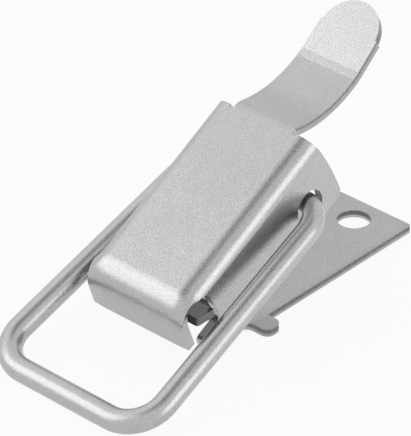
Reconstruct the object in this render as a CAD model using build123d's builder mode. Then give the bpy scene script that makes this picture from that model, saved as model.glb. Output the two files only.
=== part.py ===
from build123d import *
from math import asin, cos, degrees, hypot, radians, sin, tan
import os

# Over centre toggle latch: a flat base plate, a folded lever that rocks on the plate's
# cranked tongue, and a wire bail that hangs in the lever's two flanges.
# The row frame: X runs towards the bail, Y across, Z up off the mounting surface.
# The origin lies on the plate's underside, midway between the two fixing holes.
# Lengths are millimetres and angles are degrees.

# --- base plate -------------------------------------------------------------------
plate_thickness = 1.5
plate_width = 16.4
plate_corner_radius = 0.3
fixing_hole_dia = 5.8
fixing_hole_spacing = 25.0
fixing_hole_margin = 5.0
lug_reach = 11.5
lug_length = 3.5
lug_setback = 9.4
lug_corner_radius = 1.4
neck_width = 13.0
neck_root_radius = 1.8
neck_gap = 0.86
ramp_angle = 48.0
inner_bend_radius = 1.5
pivot_height = 10.15
ear_length = 3.8
ear_span = 20.4
ear_corner_radius = 0.5

# --- lever, measured closed: u forward and w up from the bail's axis ----------------
lever_sheet = 1.5
lever_width = 21.0
cap_height = 10.0
flange_depth = 4.85
cap_back = 6.0
flange_back = 6.55
flange_back_low = 6.1
flange_back_height = 2.0
side_bend_radius = 3.0
flange_corner_radius = 1.6
pivot_ahead = 26.05
pivot_above = 3.43
pocket_gap = 0.3
pocket_floor_drop = 2.85
pocket_corner_radius = 2.0
pocket_arch_radius = 1.5
nose_reach = 3.0
nose_radius = 1.0
shoulder_roll = 74.0
shoulder_start = 1.6
shoulder_rolls = (62.0, 46.0, 34.0, 26.0, 19.0, 13.0, 9.0)
shoulder_roll_foot = 6.0
lip_bend_radius = 5.0
lip_bend_start = 0.05
lip_flare = 9.5
lip_foot = 1.85
bail_hole_dia = 5.9
bail_hole_ahead = 0.2
bail_hole_drop = 0.22

# --- thumb tab ------------------------------------------------------------------------
tab_width = 12.5
tab_tip_width = 11.95
tab_dip = 36.5
tab_root_radius = 1.75
tab_sweep_radius = 21.5
tab_rise = 2.0
tab_kick = 4.5
tab_crease_radius = 2.0
tab_crease_gap = 1.4
tab_straight = 5.6
tab_tip_inset = 0.5
tab_tip_radius = 5.65
tab_notch_radius = 0.5
tab_notch_bite = 0.1

# --- bail -------------------------------------------------------------------------------
wire_dia = 4.0
bail_length = 49.1
bail_front_width = 32.3
bail_eye_stand = 2.95
bail_corner_radius = 6.2
bail_eye_radius = 5.0
bail_end_stand = 1.8
bail_end_chamfer = 0.3

# --- how the latch stands: lever raised, bail's bar lying on the mounting surface ---------
lever_open = 28.8

# --- places that follow from the sizes ------------------------------------------------------
hole_x = fixing_hole_spacing / 2
plate_back = -hole_x - fixing_hole_margin
lug_front = hole_x + lug_setback
lug_mid = lug_front - lug_length / 2
plate_mid = plate_thickness / 2
mid_bend = inner_bend_radius + plate_mid
bend_run = mid_bend * tan(radians(ramp_angle / 2))
ramp_foot = lug_front + neck_gap + bend_run
ramp_top = ramp_foot + (pivot_height - plate_mid) / tan(radians(ramp_angle))
ear_front = ramp_top + bend_run + ear_length
pivot_x = ear_front - ear_length / 2

wire_radius = wire_dia / 2
forward = Vector(cos(radians(lever_open)), 0, -sin(radians(lever_open)))
upward = Vector(sin(radians(lever_open)), 0, cos(radians(lever_open)))
bail_axis = Vector(pivot_x, 0, pivot_height) - forward * pivot_ahead - upward * pivot_above
bail_drop = asin((bail_axis.Z - wire_radius) / bail_length)

lever_side = Plane(origin=bail_axis, x_dir=forward, z_dir=(0, -1, 0))
lever_plan = Plane(origin=bail_axis, x_dir=forward, z_dir=upward)
lever_back = Plane(origin=bail_axis - forward * flange_back, x_dir=(0, 1, 0), z_dir=forward)
bail_plane = Plane(
    origin=bail_axis,
    x_dir=(cos(bail_drop), 0, -sin(bail_drop)),
    z_dir=(sin(bail_drop), 0, cos(bail_drop)),
)

# --- base plate: one stamping, flat, then a ramp up to the two ears -------------------------
with BuildPart() as base_plate:
    with BuildSketch(Plane.XZ):
        with BuildLine():
            FilletPolyline(
                (plate_back, plate_mid),
                (ramp_foot, plate_mid),
                (ramp_top, pivot_height),
                (ear_front, pivot_height),
                radius=mid_bend,
            )
        trace(line_width=plate_thickness)
    extrude(amount=lug_reach, both=True)
    with BuildSketch() as blank:
        with Locations(((plate_back + lug_front) / 2, 0)):
            Rectangle(lug_front - plate_back, plate_width)
        fillet(blank.vertices().group_by(Axis.X)[0], plate_corner_radius)
        with Locations((lug_mid, 0)):
            Rectangle(lug_length, 2 * lug_reach)
        lug_ends = blank.vertices().filter_by(lambda v: abs(v.Y) > lug_reach - plate_corner_radius)
        fillet(lug_ends, lug_corner_radius)
        with Locations(((lug_mid + ear_front) / 2, 0)):
            Rectangle(ear_front - lug_mid, neck_width)
        at_lug_front = blank.vertices().filter_by(lambda v: abs(v.X - lug_front) < neck_gap)
        neck_roots = at_lug_front.filter_by(lambda v: abs(v.Y) < plate_width / 2)
        fillet(neck_roots, neck_root_radius)
        with Locations((pivot_x, 0)):
            Rectangle(ear_length, ear_span)
        ear_ends = blank.vertices().group_by(Axis.X)[-1]
        fillet(ear_ends, ear_corner_radius)
        with Locations((-hole_x, 0), (hole_x, 0)):
            Circle(fixing_hole_dia / 2, mode=Mode.SUBTRACT)
    extrude(amount=pivot_height + plate_thickness, mode=Mode.INTERSECT)

# --- lever: thumb tab, a strip that dips, sweeps up and is kicked up at two creases ---------
cap_mid = cap_height - lever_sheet / 2
with BuildPart() as tab:
    with BuildSketch(lever_side):
        with BuildLine():
            root = Line((0, cap_mid), (-cap_back, cap_mid))
            dip = JernArc(root @ 1, root % 1, tab_root_radius, tab_dip)
            sweep_up = JernArc(dip @ 1, dip % 1, tab_sweep_radius, -tab_dip - tab_rise)
            first_crease = JernArc(sweep_up @ 1, sweep_up % 1, tab_crease_radius, -tab_kick)
            band = Line(first_crease @ 1, (first_crease @ 1) + (first_crease % 1) * tab_crease_gap)
            second_crease = JernArc(band @ 1, band % 1, tab_crease_radius, -tab_kick)
            end = Line(second_crease @ 1, (second_crease @ 1) + (second_crease % 1) * tab_straight)
            Line(end @ 1, (end @ 1) + (end % 1) * tab_tip_radius)
            shoulder = (end @ 1).X
        trace(line_width=lever_sheet)
    extrude(amount=tab_width / 2, both=True)
    with BuildSketch(lever_plan):
        with BuildLine():
            Polyline(
                (0, tab_width / 2),
                (shoulder, tab_tip_width / 2),
                (shoulder, -tab_tip_width / 2),
                (0, -tab_width / 2),
                close=True,
            )
        make_face()
        with Locations((shoulder + tab_tip_inset, 0)):
            Circle(tab_tip_radius)
    extrude(amount=2 * cap_height, both=True, mode=Mode.INTERSECT)

# --- lever: the cap's front, bent down past square, its rolled shoulders running out -----------
cap_flat = lever_width / 2 - side_bend_radius
shoulder_reach = side_bend_radius * sin(radians(shoulder_roll))
pocket_back = pivot_ahead - hypot(ear_length, plate_thickness) / 2 - pocket_gap
shoulder_u = pocket_back + shoulder_start
bend_u = pivot_ahead + lip_bend_start
bend_w = cap_height - lip_bend_radius
lip_turn = 90.0 - lip_flare
lip_run = (bend_w + lip_bend_radius * cos(radians(lip_turn)) - lip_foot) / cos(radians(lip_flare))


def front_station(ahead, turn, down, roll):
    """The sheet's section at a place on the cap's front: its flat, with both edges rolled in."""
    ahead_u = ahead + lip_bend_radius * sin(radians(turn)) + down * cos(radians(turn))
    ahead_w = bend_w + lip_bend_radius * cos(radians(turn)) - down * sin(radians(turn))
    travel = forward * cos(radians(turn)) - upward * sin(radians(turn))
    place = bail_axis + forward * ahead_u + upward * ahead_w
    outer = shoulder_reach / sin(radians(roll))
    inner = outer - lever_sheet
    across = sin(radians(roll))
    drop = cos(radians(roll))
    with BuildSketch(Plane(origin=place, x_dir=(0, 1, 0), z_dir=travel)) as section:
        with BuildLine():
            top = Line((-cap_flat, 0), (cap_flat, 0))
            right = JernArc(top @ 1, top % 1, outer, -roll)
            right_edge = Line(right @ 1, (cap_flat + inner * across, inner * drop - outer))
            right_in = JernArc(right_edge @ 1, -(right % 1), inner, roll)
            under = Line(right_in @ 1, (-cap_flat, -lever_sheet))
            left_in = JernArc(under @ 1, under % 1, inner, roll)
            left_edge = Line(left_in @ 1, (-cap_flat - outer * across, outer * drop - outer))
            JernArc(left_edge @ 1, -(left_in % 1), outer, -roll)
        make_face()
    return section.sketch


roll_step = lip_turn / (len(shoulder_rolls) - 1)
cap_end = front_station(shoulder_u, 0, 0, shoulder_roll)
bend_stations = [front_station(bend_u, i * roll_step, 0, roll) for i, roll in enumerate(shoulder_rolls)]
lip_end = front_station(bend_u, lip_turn, lip_run, shoulder_roll_foot)
with BuildPart() as cap_front:
    loft([cap_end, bend_stations[0]], ruled=True)
with BuildPart() as front_bend:
    loft(bend_stations)
with BuildPart() as lip:
    loft([bend_stations[-1], lip_end], ruled=True)

# --- lever: the channel, its flanges cut to their outline and pierced for the bail -------------
nose_front = pivot_ahead + nose_reach
pocket_floor = pivot_above - pocket_floor_drop
arch_w = cap_height - side_bend_radius * (1 - cos(radians(shoulder_roll)))
with BuildPart() as lever:
    with BuildSketch(lever_back):
        with BuildLine():
            side = lever_width / 2 - lever_sheet / 2
            FilletPolyline(
                (-side, -flange_depth),
                (-side, cap_mid),
                (side, cap_mid),
                (side, -flange_depth),
                radius=side_bend_radius - lever_sheet / 2,
            )
        trace(line_width=lever_sheet)
    extrude(amount=flange_back + nose_front)
    with BuildSketch(lever_side) as outline:
        with BuildLine():
            ThreePointArc(
                (-cap_back, cap_height),
                (-flange_back, flange_back_height),
                (-flange_back_low, -flange_depth),
            )
            Polyline(
                (-flange_back_low, -flange_depth),
                (nose_front, -flange_depth),
                (nose_front, pocket_floor),
                (pocket_back, pocket_floor),
                (pocket_back, arch_w),
                (shoulder_u, arch_w),
                (shoulder_u, cap_height),
                (-cap_back, cap_height),
            )
        make_face()
        low = outline.vertices().filter_by(lambda v: v.Y < -flange_depth / 2)
        fillet(low, flange_corner_radius)
        nose = outline.vertices().sort_by_distance((nose_front, pocket_floor))[0]
        fillet(nose, nose_radius)
        heel = outline.vertices().sort_by_distance((pocket_back, pocket_floor))[0]
        fillet(heel, pocket_corner_radius)
        arch = outline.vertices().sort_by_distance((pocket_back, arch_w))[0]
        fillet(arch, pocket_arch_radius)
    extrude(amount=lever_width, both=True, mode=Mode.INTERSECT)
    add(cap_front.part)
    add(front_bend.part)
    add(lip.part)
    add(tab.part)
    with BuildSketch(lever_plan):
        notch_y = tab_width / 2 + tab_notch_radius - tab_notch_bite
        with Locations((-cap_back, notch_y), (-cap_back, -notch_y)):
            Circle(tab_notch_radius)
    extrude(amount=2 * cap_height, mode=Mode.SUBTRACT)
    with BuildSketch(lever_side):
        with Locations((bail_hole_ahead, -bail_hole_drop)):
            Circle(bail_hole_dia / 2)
    extrude(amount=lever_width, both=True, mode=Mode.SUBTRACT)

# --- bail: one wire, ends turned in through the flanges -------------------------------------------
wire_end = lever_width / 2 - lever_sheet - bail_end_stand
eye_y = lever_width / 2 + bail_eye_stand
with BuildPart() as bail:
    with BuildLine(bail_plane) as wire:
        FilletPolyline(
            (0, -wire_end),
            (0, -eye_y),
            (bail_length, -bail_front_width / 2),
            (bail_length, bail_front_width / 2),
            (0, eye_y),
            (0, wire_end),
            radius=[bail_eye_radius, bail_corner_radius, bail_corner_radius, bail_eye_radius],
        )
    with BuildSketch(Plane(origin=wire.line @ 0, z_dir=wire.line % 0)):
        Circle(wire_radius)
    sweep()
    cut_ends = bail.edges().filter_by(GeomType.CIRCLE).group_by(lambda e: abs(e.center().Y))[0]
    chamfer(cut_ends, bail_end_chamfer)

base_plate.part.label = "base_plate"
lever.part.label = "lever"
bail.part.label = "bail"

os.makedirs("parts", exist_ok=True)
for piece in (base_plate, lever, bail):
    export_step(piece.part, f"parts/{piece.part.label}.step")
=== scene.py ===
import bpy
from math import cos, pi, radians, sin
from mathutils import Matrix, Vector

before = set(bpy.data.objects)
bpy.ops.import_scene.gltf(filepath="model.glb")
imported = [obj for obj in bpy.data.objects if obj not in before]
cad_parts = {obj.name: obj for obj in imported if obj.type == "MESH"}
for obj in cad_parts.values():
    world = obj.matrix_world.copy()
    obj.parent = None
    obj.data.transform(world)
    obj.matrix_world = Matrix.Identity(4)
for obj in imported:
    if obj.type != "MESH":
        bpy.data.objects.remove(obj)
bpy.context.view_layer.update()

MM = 0.001


# ---- shader maths ------------------------------------------------------------------
class Socket:
    """A value in a material; sums, powers and comparisons on it add the Math nodes."""

    def __init__(self, finish, link):
        self.finish = finish
        self.link = link

    def _with(self, operation, *values):
        return self.finish.node("ShaderNodeMath", {"operation": operation}, *values)

    def __add__(self, other):
        return self._with("ADD", self, other)

    def __radd__(self, other):
        return self._with("ADD", other, self)

    def __sub__(self, other):
        return self._with("SUBTRACT", self, other)

    def __rsub__(self, other):
        return self._with("SUBTRACT", other, self)

    def __mul__(self, other):
        return self._with("MULTIPLY", self, other)

    def __rmul__(self, other):
        return self._with("MULTIPLY", other, self)

    def __pow__(self, other):
        return self._with("POWER", self, other)

    def __gt__(self, other):
        return self._with("GREATER_THAN", self, other)

    def __lt__(self, other):
        return self._with("LESS_THAN", self, other)

    def __abs__(self):
        return self._with("ABSOLUTE", self)

    def either(self, other):
        return self._with("MAXIMUM", self, other)


class Finish:
    """One node tree, built a node at a time from a type, its settings, and values or links."""

    def __init__(self, tree):
        self.tree = tree
        self.tree.nodes.clear()

    def node(self, kind, settings=None, *values, out=0, **named):
        made = self.tree.nodes.new(kind)
        for key, value in (settings or {}).items():
            setattr(made, key, value)
        for place, value in enumerate(values):
            self._feed(made.inputs[place], value)
        for name, value in named.items():
            self._feed(made.inputs[name.replace("_", " ")], value)
        return Socket(self, made.outputs[out]) if len(made.outputs) else None

    def mix(self, share, first, second):
        blend = self.node("ShaderNodeMix", {"data_type": "RGBA"}, share).link.node
        ends = [entry for entry in blend.inputs if entry.type == "RGBA"]
        self._feed(ends[0], first)
        self._feed(ends[1], second)
        return Socket(self, [end for end in blend.outputs if end.type == "RGBA"][0])

    def ease(self, value, low, high, first=0.0, last=1.0):
        settings = {"interpolation_type": "SMOOTHSTEP", "clamp": True}
        return self.node("ShaderNodeMapRange", settings, value, low, high, first, last)

    def split(self, vector):
        made = self.node("ShaderNodeSeparateXYZ", None, vector).link.node
        return [Socket(self, end) for end in made.outputs]

    def _feed(self, entry, value):
        if isinstance(value, Socket):
            self.tree.links.new(value.link, entry)
        else:
            entry.default_value = value


def grey(level, warmth=0.0):
    return (level * (1 + warmth), level, level * (1 - warmth), 1.0)


# ---- zinc-plated steel ---------------------------------------------------------------
GRAIN_PER_METRE = 5200.0
FINE_PER_METRE = 9000.0
MOTTLE_PER_METRE = 420.0
CLOUD_PER_METRE = 70.0

# where the press cut each piece, and where shade is painted on the plate under the lever, in the frame's
# own coordinates
HOLE_X, HOLE_EDGE = 12.5 * MM, 3.2 * MM
PLATE_SIDE, LUG_Y = 7.0 * MM, 9.0 * MM
NECK_X, EAR_X = 24.0 * MM, 30.0 * MM
WIRE_X, WIRE_Z = 10.647 * MM, 19.694 * MM
WIRE_END_Y = 7.3 * MM
SWEEP_X, SWEEP_Z, SWEEP_TOP = 5.887 * MM, 52.197 * MM, 20.75 * MM
TIP_TOP = 23.251 * MM
LEAN = radians(28.8)
TIP_LEAN = radians(39.8)

# and how far from the wire's holes, along the raised lever
TAB_START, TIP_START = -6.7 * MM, -27.8 * MM
FLANGE_BACK, FLANGE_TOP = -5.0 * MM, 8.0 * MM
WIRE_HOLE_EDGE = 3.4 * MM


def zinc_plate(name, bright, dull, rough, grain_depth, cut_faces_and_shade):
    """Barrelled zinc on pressed steel: fine grain, faint clouds, and rough sheared edges.

    The last argument gives two masks: where the press cut the sheet, and how dark the colour is painted
    there, from torn steel and, on the plate, from painted shade under the lever.
    """
    material = bpy.data.materials.new(name)
    material.use_nodes = True
    finish = Finish(material.node_tree)
    place = finish.node("ShaderNodeTexCoord", out="Object")
    facing = finish.node("ShaderNodeTexCoord", out="Normal")
    grain = finish.node(
        "ShaderNodeTexNoise", None, Vector=place, Scale=GRAIN_PER_METRE, Detail=1.0, Roughness=0.5
    )
    fine = finish.node("ShaderNodeTexNoise", None, Vector=place, Scale=FINE_PER_METRE, Detail=1.0)
    mottle = finish.node(
        "ShaderNodeTexNoise", None, Vector=place, Scale=MOTTLE_PER_METRE, Detail=3.0, Roughness=0.55
    )
    cloud = finish.node("ShaderNodeTexNoise", None, Vector=place, Scale=CLOUD_PER_METRE, Detail=2.0)
    sheared, torn_and_shaded = cut_faces_and_shade(finish, place, facing)
    shade = grain * 0.5 + fine * 0.3 + mottle * 0.08 + cloud * 0.12
    blend = finish.node("ShaderNodeMapRange", {"clamp": True}, shade, 0.38, 0.62, 0.0, 1.0)
    colour = finish.mix(blend, dull, bright)
    speckle = (grain + fine) * 2.0 - 1.3
    # the second mask mixes in near-black: torn steel on cut faces, and on the plate also painted shade on
    # the lugs, neck and ears
    colour = finish.mix(torn_and_shaded * speckle, colour, grey(0.13, 0.01))
    gloss = rough + (fine - 0.5) * 0.10 + sheared * 0.08
    height = grain + fine * 0.3 + mottle * 0.2
    bump = finish.node("ShaderNodeBump", None, Strength=1.0, Distance=grain_depth, Height=height)
    steel = finish.node(
        "ShaderNodeBsdfPrincipled",
        None,
        Base_Color=colour,
        Metallic=1.0,
        Roughness=gloss,
        Normal=bump,
    )
    finish.node("ShaderNodeOutputMaterial", None, steel)
    return material


def plate_edges_and_shade(finish, place, facing):
    """The plate's upright faces, which the press tears between a rolled top and a burnished foot, and
    painted shade under the lever on the lugs, the neck and the ears' upright faces.
    """
    upright = abs(finish.split(facing)[2]) < 0.3
    x, y, height = finish.split(place)
    torn_and_shaded = finish.ease(height, 0.35 * MM, 0.75 * MM) * finish.ease(height, 1.2 * MM, 1.42 * MM, 1.0, 0.0)
    along = abs(x) - HOLE_X
    pierced = along * along + y * y < HOLE_EDGE ** 2
    torn_and_shaded = torn_and_shaded * (1.0 + pierced * 1.2)
    # painted shade under the lever: the lugs and the neck are darkened on every face, and the ears'
    # upright faces are painted fully dark
    shaded_lugs = finish.ease(abs(y), PLATE_SIDE, LUG_Y, 0.0, 0.28)
    shaded_neck = finish.ease(x, NECK_X, EAR_X, 0.0, 0.3)
    return upright, upright * torn_and_shaded.either(x > EAR_X) + shaded_lugs.either(shaded_neck)


def lever_edges(finish, place, facing):
    """The tab's sides and tip, the flanges' back edges and the walls of the wire's holes."""
    x, y, z = finish.split(place)
    faces_x, faces_y, faces_z = finish.split(facing)
    ahead = (x - WIRE_X) * cos(LEAN) - (z - WIRE_Z) * sin(LEAN)
    above = (x - WIRE_X) * sin(LEAN) + (z - WIRE_Z) * cos(LEAN)
    sides = (ahead < TAB_START) * (abs(faces_y) > 0.6)
    across_tip = faces_x * sin(TIP_LEAN) + faces_z * cos(TIP_LEAN)
    tip = (ahead < TIP_START) * (abs(across_tip) < 0.5)
    backward = faces_z * sin(LEAN) - faces_x * cos(LEAN)
    back = (ahead < FLANGE_BACK) * (above < FLANGE_TOP) * (backward > 0.6)
    near_wire = (ahead * ahead + above * above) ** 0.5 < WIRE_HOLE_EDGE
    wall = near_wire * (abs(faces_y) < 0.5)
    sheared = sides.either(tip).either(back).either(wall)
    inward, upward = x - SWEEP_X, z - SWEEP_Z
    under_sweep = (inward * inward + upward * upward) ** 0.5 - SWEEP_TOP
    under_tip = TIP_TOP - x * sin(TIP_LEAN) - z * cos(TIP_LEAN)
    under = under_sweep.either(under_tip)
    bite = finish.ease(under, 0.05 * MM, 0.2 * MM) * finish.ease(under, 0.5 * MM, 0.75 * MM, 1.0, 0.0)
    return sheared, (sides * (bite * 0.6 + 0.3)).either(tip * 0.95) + wall * 0.6


def wire_ends(finish, place, facing):
    """The wire's two sawn ends."""
    y = finish.split(place)[1]
    ends = (abs(finish.split(facing)[1]) > 0.9) * (abs(y) < WIRE_END_Y)
    return ends, ends * 0.5


plated = {
    "base_plate": zinc_plate(
        "zinc_on_plate", grey(0.57, 0.004), grey(0.39, 0.004), 0.22, 0.024 * MM, plate_edges_and_shade
    ),
    "lever": zinc_plate(
        "zinc_on_lever", grey(0.585, 0.003), grey(0.445, 0.003), 0.18, 0.032 * MM, lever_edges
    ),
    "bail": zinc_plate(
        "zinc_on_wire", grey(0.61, 0.004), grey(0.46, 0.004), 0.23, 0.028 * MM, wire_ends
    ),
}
for piece, material in plated.items():
    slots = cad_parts[piece].data.materials
    if len(slots) == 0:
        slots.append(material)
    for slot in range(len(slots)):
        slots[slot] = material


# ---- floor ---------------------------------------------------------------------------
FLOOR_Z = -0.02 * MM  # a hair under the plate, so that the two faces don't meet
FLOOR_HALF = 1.5
FLOOR_SEEN = 0.92  # the rest of what the eye sees of it is lit paper, which holds the shadow
GLARE_LEFT, GLARE_RIGHT, FADE = 0.92, 0.6, 45.0 * MM


def pale_floor():
    """A white floor that keeps the latch's shadow and is a little dimmer in its reflections."""
    corners = [(x * FLOOR_HALF, y * FLOOR_HALF, FLOOR_Z) for x, y in ((-1, -1), (1, -1), (1, 1), (-1, 1))]
    mesh = bpy.data.meshes.new("floor")
    mesh.from_pydata(corners, [], [(0, 1, 2, 3)])
    floor = bpy.data.objects.new("floor", mesh)
    bpy.context.scene.collection.objects.link(floor)
    material = bpy.data.materials.new("pale_floor")
    material.use_nodes = True
    finish = Finish(material.node_tree)
    paper = finish.node("ShaderNodeBsdfDiffuse", None, Color=grey(0.86))
    white = finish.node("ShaderNodeEmission", None, Color=grey(1.0), Strength=1.0)
    path = finish.node("ShaderNodeLightPath")
    rays = path.link.node.outputs
    seen = Socket(finish, rays["Is Camera Ray"]) + Socket(finish, rays["Is Transmission Ray"])
    mirrored = Socket(finish, rays["Is Glossy Ray"])
    x, y, _ = finish.split(finish.node("ShaderNodeTexCoord", out="Object"))
    glare = finish.ease(x - y, -FADE, FADE, GLARE_LEFT, GLARE_RIGHT)
    lit = finish.node("ShaderNodeMixShader", None, seen * FLOOR_SEEN + mirrored * glare, paper, white)
    finish.node("ShaderNodeOutputMaterial", None, lit)
    mesh.materials.append(material)


pale_floor()


# ---- studio --------------------------------------------------------------------------
def studio_sky():
    """Even light grey all round, darker overhead beside a soft window, and dimmer as a fill light."""
    world = bpy.data.worlds.new("studio")
    bpy.context.scene.world = world
    world.use_nodes = True
    finish = Finish(world.node_tree)
    path = finish.node("ShaderNodeLightPath")
    rays = path.link.node.outputs
    seen = Socket(finish, rays["Is Camera Ray"]) + Socket(finish, rays["Is Transmission Ray"])
    mirrored = Socket(finish, rays["Is Glossy Ray"])
    away = finish.node("ShaderNodeTexCoord", out="Generated")
    dot = {"operation": "DOT_PRODUCT"}
    toward_window = finish.node("ShaderNodeVectorMath", dot, away, WINDOW, out="Value")
    level = finish.ease(finish.split(away)[2], *OVERHEAD, SKY_LOW, SKY_HIGH)
    level = level + finish.ease(toward_window, *WINDOW_EDGE, 0.0, WINDOW_GLOW)
    share = seen + mirrored * level + (1 - seen - mirrored) * SKY_FILL
    dark = finish.node("ShaderNodeBackground", None, grey(0.0), 0.0)
    white = finish.node("ShaderNodeBackground", None, grey(1.0), 1.0)
    sky = finish.node("ShaderNodeMixShader", None, share, dark, white)
    finish.node("ShaderNodeOutputWorld", None, sky)


def softbox(name, azimuth, elevation, distance, width, height, glow):
    """A rectangular lamp that looks back at the latch's middle, as bright all over as glow says."""
    lamp = bpy.data.lights.new(name, "AREA")
    lamp.shape = "RECTANGLE"
    lamp.size = width
    lamp.size_y = height
    lamp.energy = glow * pi * width * height
    holder = bpy.data.objects.new(name, lamp)
    bpy.context.scene.collection.objects.link(holder)
    across, rise = radians(azimuth), radians(elevation)
    away = Vector((cos(across) * cos(rise), sin(across) * cos(rise), sin(rise)))
    turn = away.to_track_quat("Z", "Y").to_matrix().to_4x4()
    holder.matrix_world = Matrix.Translation(MIDDLE + away * distance) @ turn


SKY_LOW, SKY_HIGH, SKY_FILL = 0.86, 0.38, 0.6
OVERHEAD = (0.90, 0.975)
WINDOW, WINDOW_GLOW = (0.058, -0.667, 0.743), 0.2
WINDOW_EDGE = (0.78, 0.97)
MIDDLE = Vector((12.4, 0.0, 14.0)) * MM
studio_sky()
softbox("right_box", 101.0, 13.0, 0.5, 0.32, 0.28, 0.9)
softbox("left_box", -44.0, 32.0, 0.5, 0.42, 0.40, 0.78)


# ---- camera --------------------------------------------------------------------------
IMAGE_WIDTH = 411
FOCAL_PIXELS = 3815.118
SENSOR_WIDTH = 36.0
CAMERA_PLACE = Vector((397.998, 348.850, 347.159)) * MM
CAMERA_RIGHT = (-0.677826, 0.735168, -0.008978)
CAMERA_UP = (-0.402059, -0.360420, 0.841692)
CAMERA_BACK = (0.615549, 0.574131, 0.539883)

camera = bpy.data.cameras.new("camera")
camera.sensor_fit = "HORIZONTAL"
camera.sensor_width = SENSOR_WIDTH
camera.lens = FOCAL_PIXELS / IMAGE_WIDTH * SENSOR_WIDTH
camera.clip_start = 0.01
eye = bpy.data.objects.new("camera", camera)
bpy.context.scene.collection.objects.link(eye)
turn = Matrix((CAMERA_RIGHT, CAMERA_UP, CAMERA_BACK)).transposed().to_4x4()
eye.matrix_world = Matrix.Translation(CAMERA_PLACE) @ turn
bpy.context.scene.camera = eye
bpy.context.scene.view_settings.view_transform = "Standard"
